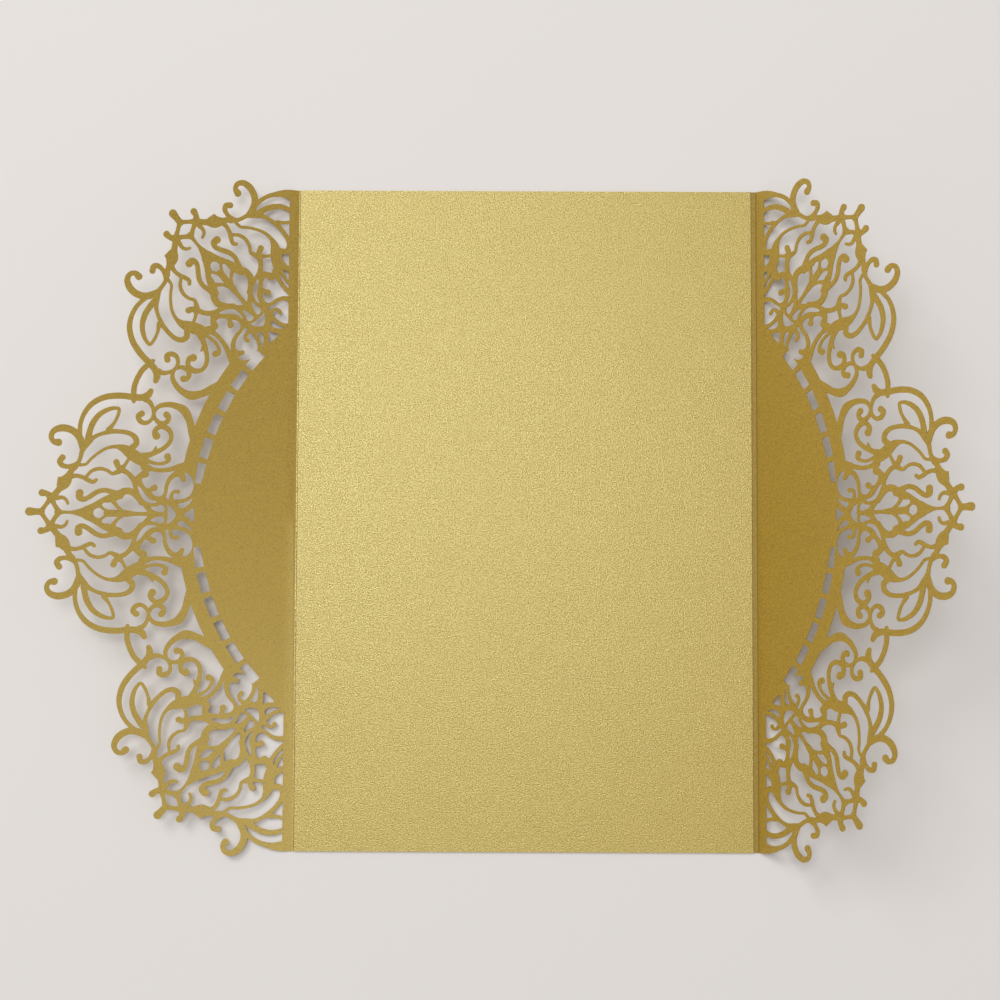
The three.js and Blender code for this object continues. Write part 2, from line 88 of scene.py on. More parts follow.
# %% [markdown]
# ## The scrollwork as pen strokes
#
# A laser follows a drawing, and the drawing of such lace is made of swelling pen strokes:
# curls with ball ends, leaves and stems. Tracing every outline by hand would give hundreds of
# points that are hard to change. A stroke needs only its centre line and its width at each
# point, so half a motif is a short table. The other half is its mirror image.
#
# Each row is: distance out from the ring centre, distance across from the axis, width.

# %% Pen strokes of half a motif
STROKES = {
    # The rim of the palmette: the round outer arc, the open scroll with two ball ends,
    # the lump on its neck and the crown of knobs around the diamond hole.
    "rim_arc": [
        [85.3, 31.8, 1.6], [89.8, 31.9, 1.7], [93.3, 31.3, 1.6], [96.5, 29.5, 1.5],
        [98.5, 26.9, 1.3], [99.5, 24, 1.2], [99.6, 20.5, 1.3],
    ],
    "upper_horn": [
        [98.8, 16.9, 1.2], [99, 18.7, 1.9], [99.7, 20.3, 1.9], [100.9, 21.6, 1.9],
        [102.5, 22.4, 1.9], [104.5, 22.6, 1.9], [106.5, 21.8, 1.6], [107.2, 20.2, 1.4],
        [106.5, 18.9, 1.4], [105.2, 18.7, 2.0],
    ],
    "spine_and_lower_horn": [
        [91.3, 22.1, 1.3], [93.8, 21.4, 1.0], [95.8, 20.4, 1.2], [97.6, 18.7, 1.8],
        [98.8, 16.7, 1.3], [99.2, 14.9, 1.1], [99.8, 13.4, 1.2], [101.3, 12.4, 1.5],
        [102.6, 12.3, 1.2], [104, 12.6, 1.4], [104.7, 13.6, 1.5], [104, 14.7, 1.7],
    ],
    "neck": [
        [100.5, 12.3, 1.6], [101.5, 11.2, 1.5], [102.2, 9.6, 2.2], [103.3, 8.0, 3.3],
        [104.5, 6.3, 1.8], [105.6, 4.9, 1.7], [106.5, 3.6, 2.4],
    ],
    "side_knob": [
        [106.5, 3.8, 2.3], [107.9, 4.9, 1.5], [109.1, 5.1, 1.9],
    ],
    "diamond_inner": [
        [106.5, 3.6, 1.6], [105.7, 1.9, 1.2], [104.6, 0.3, 1.4],
    ],
    "diamond_outer": [
        [106.9, 3.5, 1.6], [108, 1.9, 1.1], [109.2, 0.2, 1.4],
    ],
    "crown_tip": [
        [109.1, 0, 1.8], [110.8, 0, 1.8], [111.5, 0, 2.0], [112.3, 0, 2.3],
    ],
    "crown_hook": [
        [105.1, 3.8, 1.3], [103.6, 3.95, 1.0], [102.6, 3.3, 0.9], [102.2, 2.4, 0.8],
    ],
    # The heart on the axis: stem, bulb with its bead hole and the pointed leaf.
    "axis_stem": [
        [78.8, 0, 1.4], [81.3, 0, 1.1], [83.8, 0, 1.1], [86.3, 0, 1.8], [88.8, 0, 1.9],
        [91.6, 0, 1.9],
    ],
    "bulb_stem": [
        [96.3, 0, 3.6], [98.3, 0, 2.5], [99.8, 0, 1.5], [101.3, 0, 0.85], [102.8, 0, 0.85],
        [103.9, 0, 1.2], [104.7, 0, 2.0],
    ],
    "bulb_shoulder": [
        [87.9, 4.9, 1.8], [90.3, 4.2, 2.2], [92.3, 3.5, 1.9], [93.9, 2.5, 1.9],
        [95.6, 1.5, 2.0], [97.3, 0.8, 2.0],
    ],
    "bead_rim": [
        [91.3, 0.3, 1.3], [92.3, 1.0, 0.9], [93.4, 1.9, 1.0],
    ],
    "leaf_rim": [
        [87.5, 0.6, 1.1], [88.9, 1.8, 0.9], [89.9, 3.3, 1.5],
    ],
    "long_tendril": [
        [82.3, 3.0, 1.4], [83.7, 4.9, 1.7], [85.3, 6.0, 1.9], [87.1, 6.0, 2.0],
        [88.9, 5.4, 1.6], [90.6, 5.8, 1.4], [92.3, 6.2, 1.3], [94.3, 5.75, 1.35],
        [96.6, 4.2, 1.35], [98, 3.6, 1.4], [99.1, 4.1, 1.8], [99.1, 5.3, 2.1],
    ],
    "leaf_stem": [
        [87.8, 11.8, 1.5], [86.3, 11.0, 1.3], [85.1, 9.8, 1.4], [84.2, 8.6, 1.8],
        [83.9, 7.2, 1.6], [83.5, 5.2, 1.5],
    ],
    # The shell and the two long leaves beside the heart.
    "shell_curve": [
        [88.5, 11.6, 1.6], [90.5, 10.75, 0.95], [91.9, 11.6, 0.9], [93.9, 12.0, 1.0],
        [95.9, 11.4, 1.0], [97.2, 10.1, 0.9], [97.7, 9.4, 0.9],
    ],
    "shoulder": [
        [94.8, 8.9, 1.0], [95.6, 8.35, 1.1], [96.9, 8.8, 1.2], [98.3, 9.5, 1.15],
        [100.1, 9.9, 1.15], [101.9, 9.6, 1.5],
    ],
    "leaf_underside": [
        [88.8, 18.1, 1.2], [90.8, 18.0, 0.95], [92.6, 17.4, 0.85], [94.6, 16.1, 0.8],
        [96.3, 14.6, 0.8], [97.7, 13.1, 0.8], [99.3, 12.8, 0.9],
    ],
    "middle_leaf": [
        [91.3, 22.2, 1.3], [88.3, 22.2, 1.2], [86.1, 21.8, 1.3], [84.5, 20.6, 1.5],
        [84.3, 19, 1.6], [85.3, 18.1, 1.6],
    ],
    "leaf_mass": [
        [82.3, 14.6, 3.2], [83.8, 15.2, 3.2], [85.6, 16.4, 3.2], [87.5, 17.6, 2.2],
        [89.3, 18.1, 1.2],
    ],
    "bud_stem": [
        [86.3, 14.6, 0.9], [87, 13.4, 0.9], [87.8, 12.4, 1.4],
    ],
    "bud_finger": [
        [88.1, 12.1, 1.7], [89, 12.8, 1.5], [89.5, 13.9, 1.7],
    ],
    "cross_branch": [
        [80.9, 12.3, 1.6], [81.7, 11.1, 1.9], [83, 10.2, 1.6], [84, 9.0, 1.9],
    ],
    "eye_leaf": [
        [91.9, 22.6, 1.4], [90.5, 24.4, 0.9], [89.5, 26.5, 0.9], [89.25, 28.3, 0.9],
        [90.5, 28.5, 1.0], [92.5, 27.9, 1.25], [94.7, 26.4, 1.45], [96.2, 24.2, 1.6],
        [96.9, 22.2, 1.6], [97.3, 20, 1.8],
    ],
    # The big scroll that rolls up between the ring and the rim, with its small spirals.
    "big_scroll": [
        [68.6, 21, 2], [69, 23, 2.2], [69.8, 26, 2.0], [71.3, 28.65, 2.4],
        [73.3, 29.7, 1.8], [75.8, 30.1, 1.5], [78.5, 29.4, 1.2], [79.7, 27.6, 1.0],
        [79.1, 25.8, 1.1], [77.3, 24.8, 1.4], [75.9, 25.5, 1.3], [75.6, 26.6, 1.4],
        [76.2, 27.3, 1.8],
    ],
    "outer_spiral": [
        [82.3, 31.2, 1.4], [81, 30.6, 1.3], [80, 28.9, 1.0], [79.75, 27.2, 1.0],
        [80.4, 25.7, 1.0], [81.9, 24.8, 1.2], [83.4, 25.3, 1.4], [83.9, 26.6, 1.5],
        [83, 27.3, 1.7],
    ],
    "inner_spiral": [
        [77.3, 24.3, 1.5], [78.7, 23.5, 1.3], [79.3, 22.4, 1.5], [78.8, 21.4, 2.1],
    ],
    "scroll_branch": [
        [77.2, 24.2, 1.6], [75.5, 23.2, 1.4], [74.7, 21.5, 1.15], [75.2, 19.7, 1.2],
        [76.7, 18.1, 1.2], [78.5, 17.1, 1.4], [80.5, 16.2, 1.5], [82.8, 15.5, 2.2],
    ],
    "branch_thorn": [
        [79.2, 17.0, 1.4], [78.8, 18.5, 0.4],
    ],
    "scroll_foot": [
        [70.8, 13.2, 2.5], [72.5, 12.9, 2.0], [74.3, 12.5, 1.3], [77.3, 12.05, 1.1],
        [79.6, 12.2, 1.3], [81.8, 12.9, 2.2],
    ],
    "foot_curl": [
        [75.6, 15.9, 1.8], [75.25, 14.9, 1.2], [76.2, 14.15, 1.0], [78.1, 13.8, 0.85],
        [79.8, 14.1, 0.9], [81.6, 14.6, 1.3],
    ],
    # The bridge to the next palmette: a thorned leaf and half of the shared strut.
    "bridge_thorn": [
        [80.7, 33.6, 1.4], [81.5, 32.4, 1.9], [83.1, 31.7, 1.8], [85.3, 31.7, 1.8],
        [87.3, 31.85, 1.6],
    ],
    "bridge_dent": [
        [85.3, 31.4, 1.6], [85.3, 30.5, 1.0],
    ],
    "strut": [
        [85.4, 32, 1.5], [85.3, 34.5, 1.5], [84.5, 37.0, 1.45],
    ],
}
print(len(STROKES), "pen strokes")

# %% [markdown]
# Next to the ring the lace is mostly solid, with openings cut out of it. There it is easier to
# draw the solid foot as one area and then draw its openings.

# %% Solid areas, their openings and the curls in them
AREAS = [
    [
        [66.3, -0.1], [66.3, 13], [72.3, 13.3], [75.3, 12.6], [78.3, 12.2], [81.3, 12.6],
        [83.8, 9.8], [84.5, 8], [84.1, 6], [82.8, 3.2], [80.8, 0.8], [80.8, -0.1],
    ],
    [
        [102.3, 9.8], [105.1, 9.4], [105.3, 7.2], [103.8, 6],
    ],
]
OPENINGS = [
    [
        [70.5, 11.5], [69.1, 10.8], [68.25, 9.2], [68.25, 7.3], [69.1, 5.5], [70.5, 4.55],
        [72.3, 4.15], [74.3, 4.15], [75.6, 4.3], [75.3, 6.4], [75, 8.1], [74.1, 9.6],
        [72.9, 10.4], [71.9, 10.2],
    ],
    [
        [73.4, 12.0], [75.3, 11.55], [77.8, 11.45], [80.5, 11.6], [80.55, 10.6],
        [81.2, 9.95], [82.3, 9.7], [82.4, 9.0], [81.8, 7.8], [80.9, 6.9], [80.2, 6.4],
        [79.5, 5.7], [78.7, 5.0], [77.7, 4.85], [76.8, 5.2], [76.3, 6.2], [76.2, 7.7],
        [75.6, 9.6], [74.7, 10.9],
    ],
    [
        [78.1, 3.4], [79.7, 3.9], [81.1, 5.0], [82.3, 6.6], [83.4, 7.6], [83.5, 7.2],
        [83, 5.7], [82.1, 4.2], [81.2, 3.4], [79.9, 3.0], [78.7, 3.0],
    ],
    [
        [76, 1.6], [76.4, 2.4], [77.3, 2.6], [78, 2.2], [78.9, 2.1], [79.7, 1.9],
        [79.5, 1.4], [78.5, 0.9], [77.1, 0.6], [76.2, 0.7],
    ],
    [
        [81.1, 0.6], [81.9, 1.2], [83.1, 2.6], [84.3, 4.2], [85.3, 5.0], [86.3, 5.25],
        [87.2, 4.8], [87.7, 3.8], [88.6, 3.7], [89.2, 3.3], [88.9, 2.6], [88, 1.8],
        [86.6, 1.2], [84.8, 0.7], [82.8, 0.4],
    ],
    [
        [75.05, -0.1], [75.2, 1.5], [75.4, 2.6], [74.3, 2.1], [73.4, 1.2], [72.9, -0.1],
    ],
    [
        [67.6, -0.1], [67.7, 1.0], [68.4, 1.9], [69.2, 1.1], [70.7, -0.1],
    ],
    [
        [68.4, 4.6], [69.6, 3.8], [71.1, 3.3], [72.3, 2.9], [72.3, 2.4], [71.7, 1.8],
        [70.9, 1.8], [69.8, 2.5], [68.9, 3.5],
    ],
    [
        [89.4, 0.9], [90.3, 2.2], [91.6, 2.8], [92.7, 2.7], [93, 2.1], [92.3, 1.4],
        [91, 0.9],
    ],
]
CURLS = [
    [
        [74.2, 4.0, 1.2], [74.15, 5.5, 0.9], [73.5, 6.3, 0.9], [72.5, 6.3, 1.2],
    ],
    [
        [71.9, 11.9, 1.8], [71, 9.7, 1.3],
    ],
    [
        [80.7, 6.2, 1.5], [79.7, 6.8, 1.2], [78.9, 7.25, 1.7],
    ],
]
print(len(AREAS), "areas,", len(OPENINGS), "openings,", len(CURLS), "curls")

# %% [markdown]
# ## From strokes to a drawing
#
# Strokes overlap in hundreds of places. Joining them as solids is slow and leaves slivers, so
# they are joined as a map of depths instead. Each cell of a fine grid keeps how deep it lies
# inside the card: above zero is card, below zero is air. Joining is then the larger of two
# depths and cutting is the smaller one, and the outline is where the depth is zero.
#
# First come smooth lines through the drawn points.

# %% A smooth line through drawn points
def smooth_line(points, closed=False, steps=8):
    """Each point's direction is weighed by the roots of the distances to its neighbours, so
    the line never loops or overshoots where the points are uneven."""
    p = np.array(points, float)
    ends = (p[-1:], p[:2]) if closed else (2 * p[:1] - p[1:2], 2 * p[-1:] - p[-2:-1])
    p = np.concatenate([ends[0], p, ends[1]])
    t = np.linspace(0, 1, steps, endpoint=False)[:, None]
    line = []
    for a, b, c, d in zip(p, p[1:], p[2:], p[3:]):
        k, m, n = (np.sqrt(np.linalg.norm(v)) for v in (b - a, c - b, d - c))
        out = ((b - a) / k - (c - a) / (k + m) + (c - b) / m) * m
        back = ((c - b) / m - (d - b) / (m + n) + (d - c) / n) * m
        bend = (3 * (c - b) - 2 * out - back) * t**2
        line.append(b + out * t + bend + (2 * (b - c) + out + back) * t**3)
    return np.concatenate(line if closed else line + [p[-2:-1]])


# %% Depth inside one link of a stroke, and inside a closed outline
def link_depth(x, y, p, q):
    run = q[:2] - p[:2]
    t = ((x - p[0]) * run[0] + (y - p[1]) * run[1]) / max(run @ run, 1e-12)
    t = np.clip(t, 0, 1)
    off = np.hypot(x - p[0] - t * run[0], y - p[1] - t * run[1])
    return (p[2] + t * (q[2] - p[2])) / 2 - off


def outline_depth(x, y, corners):
    near = np.full(np.broadcast(x, y).shape, 1e9)
    inside = np.zeros(near.shape, bool)
    for a, b in zip(corners, np.roll(corners, -1, axis=0)):
        near = np.minimum(near, -link_depth(x, y, np.append(a, 0), np.append(b, 0)))
        if a[1] != b[1]:
            across = (b[0] - a[0]) * (y - a[1]) / (b[1] - a[1]) + a[0]
            inside ^= ((a[1] > y) != (b[1] > y)) & (x < across)
    return np.where(inside, near, -near)


# %% A map of depths
class DepthMap:
    """Depths on a grid of square cells: above zero is card, below zero is air."""

    def __init__(self, low, high, cell):
        self.low, self.cell = np.array(low, float), cell
        columns, rows = np.round((np.array(high) - low) / cell).astype(int) + 1
        self.x = low[0] + np.arange(columns) * cell
        self.y = (low[1] + np.arange(rows) * cell)[:, None]
        self.depth = np.full((rows, columns), -1.0)

    def part(self, points, margin):
        """The cells around some points."""
        first = np.array(points)[:, :2].min(0) - margin - self.low
        last = np.array(points)[:, :2].max(0) + margin - self.low
        a, b = np.maximum((first / self.cell).astype(int), 0)
        c, d = np.maximum((last / self.cell).astype(int) + 2, 0)
        return (slice(b, d), slice(a, c)), self.x[a:c], self.y[b:d]

    def draw(self, points):
        line = smooth_line(points)
        for p, q in zip(line, line[1:]):
            cells, x, y = self.part([p, q], max(p[2], q[2]) / 2 + 0.5)
            self.depth[cells] = np.maximum(self.depth[cells], link_depth(x, y, p, q))

    def fill(self, corners):
        cells, x, y = self.part(corners, 0.5)
        self.depth[cells] = np.maximum(self.depth[cells], outline_depth(x, y, corners))

    def cut(self, corners):
        cells, x, y = self.part(corners, 0.5)
        self.depth[cells] = np.minimum(self.depth[cells], -outline_depth(x, y, corners))

    def at(self, x, y):
        """Depths at any points, blended between the four cells around each."""
        i = np.clip((x - self.low[0]) / self.cell, 0, self.depth.shape[1] - 1.001)
        j = np.clip((y - self.low[1]) / self.cell, 0, self.depth.shape[0] - 1.001)
        m, n = i.astype(int), j.astype(int)
        u, w, d = i - m, j - n, self.depth
        near = d[n, m] * (1 - u) + d[n, m + 1] * u
        return near * (1 - w) + (d[n + 1, m] * (1 - u) + d[n + 1, m + 1] * u) * w

    def card_area(self):
        return float((self.depth > 0).sum()) * self.cell**2


# %% Half of the motif
MOTIF_LOW, MOTIF_HIGH, MOTIF_CELL = (64.0, -2.0), (115.0, 40.0), 0.1
half_motif = DepthMap(MOTIF_LOW, MOTIF_HIGH, MOTIF_CELL)
for points in STROKES.values():
    half_motif.draw(points)
for corners in AREAS:
    half_motif.fill(np.array(corners))
for corners in OPENINGS:
    half_motif.cut(smooth_line(corners, closed=True))
for points in CURLS:
    half_motif.draw(points)
print("half motif:", round(half_motif.card_area()), "square mm of card")

# %% [markdown]
# ## The flap's drawing
#
# A flap is one whole motif on its axis and the same motif turned towards each corner, where
# the fold cuts it off. They meet at a ring of slots around a solid half round. The ring's
# centre lies inside the centre panel, so the flap's distances are measured from the fold, and
# the motif's from the ring centre.

# %% One flap, flat
FLAP_CELL = 0.12
flap = DepthMap((-PANEL_OVERLAP, -FLAP_HALF_HEIGHT), (FLAP_REACH, FLAP_HALF_HEIGHT), FLAP_CELL)


def whole_motif(turn):
    """The motif's depth on the flap, with its bead hole."""
    c, n = math.cos(math.radians(turn)), math.sin(math.radians(turn))
    out, up = flap.x + RING_INSET, flap.y
    along, across = out * c + up * n, up * c - out * n
    both = np.maximum(half_motif.at(along, across), half_motif.at(along, -across))
    bead = np.hypot(along - BEAD_DISTANCE, across) - BEAD_RADIUS
    return np.minimum(both, bead)


for turn in (0, MOTIF_TURN, -MOTIF_TURN):
    flap.depth = np.maximum(flap.depth, whole_motif(turn))

# %% The half round, the ring around the slots and the strip along the fold
RING_OVERLAP = 1.0
radius = np.hypot(flap.x + RING_INSET, flap.y)
turn = np.degrees(np.abs(np.arctan2(flap.y, flap.x + RING_INSET)))
band = np.minimum(RING_RADIUS - radius, radius - DISC_RADIUS + RING_OVERLAP)
to_motif = np.minimum(turn - RING_GAP, MOTIF_TURN - RING_GAP - turn)
band = np.minimum(band, np.radians(to_motif) * radius)
strip = np.minimum(HINGE_STRIP - flap.x, SHEET_HEIGHT / 2 - np.abs(flap.y))
for solid in (DISC_RADIUS - radius, band, strip):
    flap.depth = np.maximum(flap.depth, solid)

# %% The corners of the sheet and the slots
# The sheet's corner runs into the lace's rim: distance from the fold, distance from the edge.
CORNER_BLEND = [(2.6, 0), (2.6, 2), (8.6, 1.8), (7.3, 1.05), (6, 0.6), (4.5, 0.2)]


def slot_corners(k, side):
    half = SLOT_WIDTH / 2
    end = SLOT_END_WIDTH / 2 if k == 0 else half
    near = side * SLOT_LENGTH / -2
    angle = math.radians(side * (FIRST_SLOT + k * SLOT_PITCH))
    corners = [(-end, near), (end, near), (half, -near), (-half, -near)]
    turned = []
    for x, y in corners:
        x += SLOT_RADIUS
        out = x * math.cos(angle) - y * math.sin(angle) - RING_INSET
        turned.append((out, x * math.sin(angle) + y * math.cos(angle)))
    return np.array(turned)


for side in (1, -1):
    top = side * SHEET_HEIGHT / 2
    flap.fill(np.array([(x, top - side * y) for x, y in CORNER_BLEND]))
    for k in range(SLOTS):
        flap.cut(slot_corners(k, side))
print("one flap:", round(flap.card_area()), "square mm of card")

# %% [markdown]
# ## The outlines
#
# The outline runs through every grid cell that has card at some of its corners and air at
# others. Walking around such a cell, it enters where card ends and leaves where card starts
# again. Linking those crossings from cell to cell gives closed outlines, with the crossing
# points placed exactly where the depth is zero. Points that lie on an almost straight run
# are then dropped, so that the mesh stays light.

# %% Closed outlines where the depth is zero
def outlines_of(plan):
    depth = np.pad(plan.depth, 1, constant_values=-1.0)
    card = depth > 0
    corners = card[:-1, :-1].astype(int) + card[:-1, 1:] + card[1:, :-1] + card[1:, 1:]
    after = {}
    for j, i in np.argwhere((corners > 0) & (corners < 4)).tolist():
        ring = [(j, i), (j, i + 1), (j + 1, i + 1), (j + 1, i)]
        crossings = []
        for here, there in zip(ring, ring[1:] + ring[:1]):
            if card[here] != card[there]:
                crossings.append((bool(card[here]), (min(here, there), max(here, there))))
        if not crossings[0][0]:
            crossings = crossings[1:] + crossings[:1]
        joined = len(crossings) == 2 or sum(depth[k] for k in ring) > 0
        for k in range(0, len(crossings), 2):
            partner = crossings[k + 1 if joined else k - 1]
            after[crossings[k][1]] = partner[1]
    loops = []
    while after:
        loop = []
        step = next(iter(after))
        while step in after:
            (j, i), (m, n) = step
            share = depth[j, i] / (depth[j, i] - depth[m, n])
            loop.append((i - 1 + share * (n - i), j - 1 + share * (m - j)))
            step = after.pop(step)
        loops.append(np.array(loop) * plan.cell + plan.low)
    return loops


def thinned(loop, error):
    """The loop without the points that lie closer to the straight run than the error."""
    far = int(np.argmax(np.linalg.norm(loop - loop[0], axis=1)))
    ring = np.concatenate([loop, loop[:1]])
    keep, spans = {0, far}, [(0, far), (far, len(loop))]
    while spans:
        a, b = spans.pop()
        run = ring[b] - ring[a]
        inner = ring[a + 1 : b] - ring[a]
        if not len(inner):
            continue
        off = np.abs(inner[:, 0] * run[1] - inner[:, 1] * run[0]) / max(np.hypot(*run), 1e-9)
        k = int(np.argmax(off))
        if off[k] > error:
            keep.add(a + 1 + k)
            spans += [(a, a + 1 + k), (a + 1 + k, b)]
    return loop[sorted(keep)]


def loop_area(loop):
    x, y = loop.T
    return 0.5 * float(np.sum(x * np.roll(y, -1) - np.roll(x, -1) * y))


# %% Outlines of one flap
OUTLINE_ERROR = 0.02
SMALLEST_HOLE = 0.3
loops = []
for loop in outlines_of(flap):
    loop[:, 0] = np.maximum(loop[:, 0], -PANEL_OVERLAP)
    if abs(loop_area(loop)) > SMALLEST_HOLE:
        loops.append(thinned(loop, OUTLINE_ERROR))
print(len(loops), "outlines,", sum(len(loop) for loop in loops), "points")

# %% [markdown]
# ## One flat sheet
#
# The real jacket is cut flat and folded afterwards, and so is this one. Both flaps, the centre
# panel and the lines of the creases go into one triangulation of the whole flat sheet. It
# keeps the outlines and crease lines as edges. A few extra points inside the wide areas let
# the flaps twist smoothly, where a few long triangles would show as facets.

# %% Points and lines of the flat sheet
CREASE_STEPS = 6
INNER_SPACING, INNER_REACH = 3.0, 90
INNER_FROM_CREASE, INNER_FROM_EDGE = 0.6, 0.9
points, lines = [], []


def add_line(line, closed):
    first = len(points)
    points.extend((float(x), float(y)) for x, y in line)
    count = len(line)
    last = count if closed else count - 1
    lines.extend((first + k, first + (k + 1) % count) for k in range(last))


for side, fold, crease in ((-1, LEFT_FOLD, LEFT_CREASE), (1, RIGHT_FOLD, RIGHT_CREASE)):
    for loop in loops:
        add_line(loop * (side, 1) + (side * fold, 0), closed=True)
    for k in range(CREASE_STEPS + 1):
        x = side * (fold - crease / 2 + crease * k / CREASE_STEPS)
        add_line([(x, -SHEET_HEIGHT / 2), (x, SHEET_HEIGHT / 2)], closed=False)
    for s in np.arange(crease / 2 + INNER_FROM_CREASE, FLAP_REACH, INNER_SPACING):
        for v in np.arange(-INNER_REACH, INNER_REACH + 1, INNER_SPACING):
            if flap.at(np.array(s), np.array(v)) > INNER_FROM_EDGE:
                points.append((side * (fold + s), float(v)))
left_end, right_end = PANEL_OVERLAP - LEFT_FOLD, RIGHT_FOLD - PANEL_OVERLAP
for v in (-SHEET_HEIGHT / 2, SHEET_HEIGHT / 2):
    add_line([(left_end, v), (right_end, v)], closed=False)
print(len(points), "points and", len(lines), "lines")

# %% The triangles of the flat sheet
SAME_POINT = 1e-4
found = geometry.delaunay_2d_cdt(points, lines, [], 0, SAME_POINT, False)
flat = np.array([tuple(p) for p in found[0]])
triangles = np.array([tuple(face) for face in found[2]])
middle = flat[triangles].mean(1)
past_fold = np.where(middle[:, 0] < 0, -LEFT_FOLD - middle[:, 0], middle[:, 0] - RIGHT_FOLD)
in_panel = (past_fold < -PANEL_OVERLAP) & (np.abs(middle[:, 1]) < SHEET_HEIGHT / 2)
in_flap = (past_fold >= -PANEL_OVERLAP) & (flap.at(past_fold, middle[:, 1]) > 0)
triangles = triangles[in_panel | in_flap]
print(len(flat), "corners,", len(triangles), "triangles on each face")

# %% [markdown]
# ## Folding it
#
# A crease in heavy card is a narrow round bend, about as wide as the card is thick. Past the
# crease each flap stands straight out. Neither flap is quite flat: the left one stands higher
# at its top end. So the fold's angle changes evenly from end to end, which twists the flap a
# little. A bend modifier can't change its angle along the fold, but the rule is short enough
# to apply to every corner directly.

# %% The rule that folds a flap up
def folded(x, y, lift):
    """From the flat sheet to space. Lift is the height above the sheet's middle."""
    side = np.where(x < 0, -1.0, 1.0)
    fold = np.where(x < 0, LEFT_FOLD, RIGHT_FOLD)
    crease = np.where(x < 0, LEFT_CREASE, RIGHT_CREASE)
    tilt = np.where(x < 0, LEFT_TILT, RIGHT_TILT)
    twist = np.where(x < 0, LEFT_TWIST, RIGHT_TWIST)
    angle = np.radians(tilt + twist * y / (SHEET_HEIGHT / 2))
    past = np.abs(x) - fold + crease / 2
    along = np.clip(past, 0, crease)
    straight = np.maximum(past - crease, 0)
    turned = angle * along / crease
    radius = crease / angle
    out = radius * np.sin(turned) + straight * np.cos(turned) - lift * np.sin(turned)
    out += fold - crease / 2 + np.minimum(past, 0)
    up = radius * (1 - np.cos(turned)) + straight * np.sin(turned) + lift * np.cos(turned)
    return np.stack([side * out, y, up + SHEET_THICKNESS / 2], 1)


# %% The folded sheet as a mesh
def card_mesh(name, corners, triangles):
    used = np.unique(triangles)
    new = np.full(len(corners), -1)
    new[used] = np.arange(len(used))
    x, y = corners[used].T
    upper = folded(x, y, SHEET_THICKNESS / 2)
    lower = folded(x, y, -SHEET_THICKNESS / 2)
    count = len(used)
    top = new[triangles]
    edges = np.concatenate([top[:, [0, 1]], top[:, [1, 2]], top[:, [2, 0]]])
    ways = {tuple(edge) for edge in edges.tolist()}
    rim = [(a, b) for a, b in ways if (b, a) not in ways]
    walls = [(b, a, a + count, b + count) for a, b in sorted(rim)]
    faces = top.tolist() + (top[:, ::-1] + count).tolist() + walls
    mesh = bpy.data.meshes.new(name)
    mesh.from_pydata((np.concatenate([upper, lower]) / METRE).tolist(), [], faces)
    mesh.update()
    return mesh


SHARP_EDGE = math.radians(35)
jacket_mesh = card_mesh("jacket_sheet", flat, triangles)
jacket_mesh.polygons.foreach_set("use_smooth", [True] * len(jacket_mesh.polygons))
jacket_mesh.set_sharp_from_angle(angle=SHARP_EDGE)
jacket = bpy.data.objects.new("jacket_sheet", jacket_mesh)
bpy.context.scene.collection.objects.link(jacket)
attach(jacket, "root")
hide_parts("gatefold_jacket")
print("jacket:", len(jacket_mesh.vertices), "corners,", len(jacket_mesh.polygons), "faces")

# %% [markdown]
# ## Reckoning with sockets
#
# A finish is a small sum: so much grain, a little darker here, rougher there. Written as
# Python expressions such sums are short, so one class wraps a socket and adds the Math node
# for each operator. Colours go through Mix nodes, because a Math node would turn them grey.

# %% A socket that can be reckoned with
class Wire:
    def __init__(self, tree, socket=None):
        self.tree, self.socket = tree, socket

    def feed(self, socket, value):
        if isinstance(value, Wire):
            self.tree.links.new(value.socket, socket)
        else:
            socket.default_value = value

    def node(self, kind, settings=None, values=None, out=0):
        """Any node: its type, its settings, and the values or links of its sockets."""
        made = self.tree.nodes.new(kind)
        for name, value in (settings or {}).items():
            setattr(made, name, value)
        for name, value in (values or {}).items():
            self.feed(made.inputs[name], value)
        return Wire(self.tree, made.outputs[out])

    def math(self, operation, a, b):
        return self.node("ShaderNodeMath", {"operation": operation}, {0: a, 1: b})

    def __add__(self, other):
        return self.math("ADD", self, other)

    def __sub__(self, other):
        return self.math("SUBTRACT", self, other)

    def __rsub__(self, other):
        return self.math("SUBTRACT", other, self)

    def __mul__(self, other):
        return self.math("MULTIPLY", self, other)

    def blended(self, first, second):
        """A colour that goes from the first to the second as this value goes from 0 to 1.
        A Mix node's sockets for colours are number 6 and 7, and 2 on its other side."""
        values = {0: self, 6: first, 7: second}
        return self.node("ShaderNodeMix", {"data_type": "RGBA"}, values, out=2)


def colour(red, green, blue):
    """A colour as the eye reads it, 0 to 255, in the linear values that shading needs."""
    shares = np.array([red, green, blue]) / 255
    linear = np.where(shares < 0.04045, shares / 12.92, ((shares + 0.055) / 1.055) ** 2.4)
    return (*linear.tolist(), 1.0)


print("pale gold in linear values:", [round(v, 3) for v in colour(205, 186, 116)])
